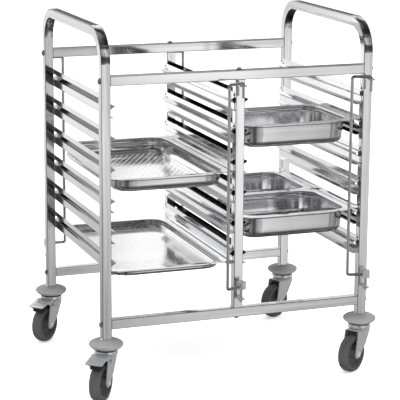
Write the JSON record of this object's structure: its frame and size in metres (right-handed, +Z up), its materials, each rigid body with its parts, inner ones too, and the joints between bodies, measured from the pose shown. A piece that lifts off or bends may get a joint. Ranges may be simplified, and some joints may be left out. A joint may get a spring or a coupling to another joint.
{
  "type": "gastronorm tray trolley",
  "caption": "Two-bay gastronorm tray trolley of square steel tube with sloped tray slides, swinging stoppers, hanging pans and swivel casters with brakes.",
  "frame": {"origin": "on the floor under the middle of the whole trolley's bounding box", "axes": "+X to the right seen from the front, +Y from the front to the back, +Z up"},
  "size_m": [0.8378, 0.662, 0.95],
  "materials": {
    "steel_tube": "polished stainless steel",
    "steel_sheet": "bright stainless steel sheet",
    "steel_bolt": "polished stainless steel",
    "plug_plastic": "off-white moulded plastic",
    "steel_rod": "polished stainless steel rod",
    "block_steel": "brushed stainless steel",
    "pan_steel": "satin stainless steel",
    "pan_perforated_steel": "satin stainless steel with small holes",
    "bumper_rubber": "light grey soft rubber",
    "zinc": "bright zinc plate",
    "hub_plastic": "dark grey moulded plastic",
    "tyre_rubber": "dark grey rubber",
    "shoe_rubber": "black rubber"
  },
  "bodies": {
    "frame": {"caster_bumpers": "bumper_rubber", "caster_stems": "zinc", "frame_bolts": "steel_bolt", "rail_bottom_front": "steel_tube", "rail_bottom_rear": "steel_tube", "rail_top_front": "steel_tube", "rail_top_rear": "steel_tube", "side_frame_left": "steel_tube", "side_frame_right": "steel_tube", "slides_left_1": "steel_sheet", "slides_left_2": "steel_sheet", "slides_left_3": "steel_sheet", "slides_left_4": "steel_sheet", "slides_left_5": "steel_sheet", "slides_left_6": "steel_sheet", "slides_right_1": "steel_sheet", "slides_right_2": "steel_sheet", "slides_right_3": "steel_sheet", "slides_right_4": "steel_sheet", "slides_right_5": "steel_sheet", "slides_right_6": "steel_sheet", "stopper_lugs": "block_steel", "tube_plugs": "plug_plastic", "upright_front": "steel_tube", "upright_rear": "steel_tube"},
    "swivel_front_left": {"fork_front_left": "zinc", "axle_front_left": "zinc", "pedal_pin_front_left": "zinc"},
    "wheel_front_left": {"hub_front_left": "hub_plastic", "tyre_front_left": "tyre_rubber"},
    "brake_front_left": {"pedal_front_left": "zinc", "brake_shoe_front_left": "shoe_rubber"},
    "swivel_rear_left": {"fork_rear_left": "zinc", "axle_rear_left": "zinc", "pedal_pin_rear_left": "zinc"},
    "wheel_rear_left": {"hub_rear_left": "hub_plastic", "tyre_rear_left": "tyre_rubber"},
    "brake_rear_left": {"pedal_rear_left": "zinc", "brake_shoe_rear_left": "shoe_rubber"},
    "swivel_front_right": {"fork_front_right": "zinc", "axle_front_right": "zinc"},
    "wheel_front_right": {"hub_front_right": "hub_plastic", "tyre_front_right": "tyre_rubber"},
    "swivel_rear_right": {"fork_rear_right": "zinc", "axle_rear_right": "zinc"},
    "wheel_rear_right": {"hub_rear_right": "hub_plastic", "tyre_rear_right": "tyre_rubber"},
    "stopper_front_centre": {"stopper_rod_front_centre": "steel_rod", "stopper_block_front_centre": "block_steel"},
    "stopper_front_right": {"stopper_rod_front_right": "steel_rod", "stopper_block_front_right": "block_steel"},
    "stopper_rear_left": {"stopper_rod_rear_left": "steel_rod", "stopper_block_rear_left": "block_steel"},
    "stopper_rear_centre": {"stopper_rod_rear_centre": "steel_rod", "stopper_block_rear_centre": "block_steel"},
    "pan_perforated_upper": {"pan_perforated_upper": "pan_perforated_steel"},
    "pan_perforated_lower": {"pan_perforated_lower": "pan_perforated_steel"},
    "pan_half_upper": {"pan_half_upper": "pan_steel"},
    "pan_half_lower_front": {"pan_half_lower_front": "pan_steel"},
    "pan_half_lower_rear": {"pan_half_lower_rear": "pan_steel"}
  },
  "joints": [
    {"name": "caster_swivel_front_left", "type": "hinge", "parent": "frame", "child": "swivel_front_left", "pos_m": [-0.34014, -0.24796, 0.115], "axis": [0, 0, 1], "continuous": true},
    {"name": "wheel_roll_front_left", "type": "hinge", "parent": "swivel_front_left", "child": "wheel_front_left", "pos_m": [-0.3638, -0.2777, 0.05], "axis": [0.7826, -0.6225, 0], "continuous": true},
    {"name": "brake_pedal_front_left", "type": "hinge", "parent": "swivel_front_left", "child": "brake_front_left", "pos_m": [-0.35882, -0.27144, 0.107], "axis": [-0.7826, 0.6225, 0], "range_deg": [0, 8]},
    {"name": "caster_swivel_rear_left", "type": "hinge", "parent": "frame", "child": "swivel_rear_left", "pos_m": [-0.34014, 0.28704, 0.115], "axis": [0, 0, 1], "continuous": true},
    {"name": "wheel_roll_rear_left", "type": "hinge", "parent": "swivel_rear_left", "child": "wheel_rear_left", "pos_m": [-0.36729, 0.26045, 0.05], "axis": [0.6997, -0.7145, 0], "continuous": true},
    {"name": "brake_pedal_rear_left", "type": "hinge", "parent": "swivel_rear_left", "child": "brake_rear_left", "pos_m": [-0.36158, 0.26605, 0.107], "axis": [-0.6997, 0.7145, 0], "range_deg": [0, 8]},
    {"name": "caster_swivel_front_right", "type": "hinge", "parent": "frame", "child": "swivel_front_right", "pos_m": [0.37486, -0.24796, 0.115], "axis": [0, 0, 1], "continuous": true},
    {"name": "wheel_roll_front_right", "type": "hinge", "parent": "swivel_front_right", "child": "wheel_front_right", "pos_m": [0.34373, -0.26976, 0.05], "axis": [0.5736, -0.8192, 0], "continuous": true},
    {"name": "caster_swivel_rear_right", "type": "hinge", "parent": "frame", "child": "swivel_rear_right", "pos_m": [0.37486, 0.28704, 0.115], "axis": [0, 0, 1], "continuous": true},
    {"name": "wheel_roll_rear_right", "type": "hinge", "parent": "swivel_rear_right", "child": "wheel_rear_right", "pos_m": [0.34195, 0.26804, 0.05], "axis": [0.5, -0.866, 0], "continuous": true},
    {"name": "stopper_swing_front_centre", "type": "hinge", "parent": "frame", "child": "stopper_front_centre", "pos_m": [0.01736, -0.28046, 0.27], "axis": [0, 0, 1], "range_deg": [-42, 156]},
    {"name": "stopper_swing_front_right", "type": "hinge", "parent": "frame", "child": "stopper_front_right", "pos_m": [0.37486, -0.28046, 0.27], "axis": [0, 0, 1], "range_deg": [-2, 196]},
    {"name": "stopper_swing_rear_left", "type": "hinge", "parent": "frame", "child": "stopper_rear_left", "pos_m": [-0.34014, 0.31954, 0.27], "axis": [0, 0, 1], "range_deg": [-12, 186]},
    {"name": "stopper_swing_rear_centre", "type": "hinge", "parent": "frame", "child": "stopper_rear_centre", "pos_m": [0.01736, 0.31954, 0.27], "axis": [0, 0, 1], "range_deg": [-18, 180]},
    {"name": "slide_perforated_upper", "type": "slide", "parent": "frame", "child": "pan_perforated_upper", "axis": [0, 1, 0], "range_m": [-0.008, 0.022]},
    {"name": "slide_perforated_lower", "type": "slide", "parent": "frame", "child": "pan_perforated_lower", "axis": [0, 1, 0], "range_m": [-0.022, 0.008]},
    {"name": "slide_half_upper", "type": "slide", "parent": "frame", "child": "pan_half_upper", "axis": [0, 1, 0], "range_m": [-0.0295, 0.2655]},
    {"name": "slide_half_lower_front", "type": "slide", "parent": "frame", "child": "pan_half_lower_front", "axis": [0, 1, 0], "range_m": [-0.026, 0]},
    {"name": "slide_half_lower_rear", "type": "slide", "parent": "frame", "child": "pan_half_lower_rear", "axis": [0, 1, 0], "range_m": [0, 0.003]}
  ]
}
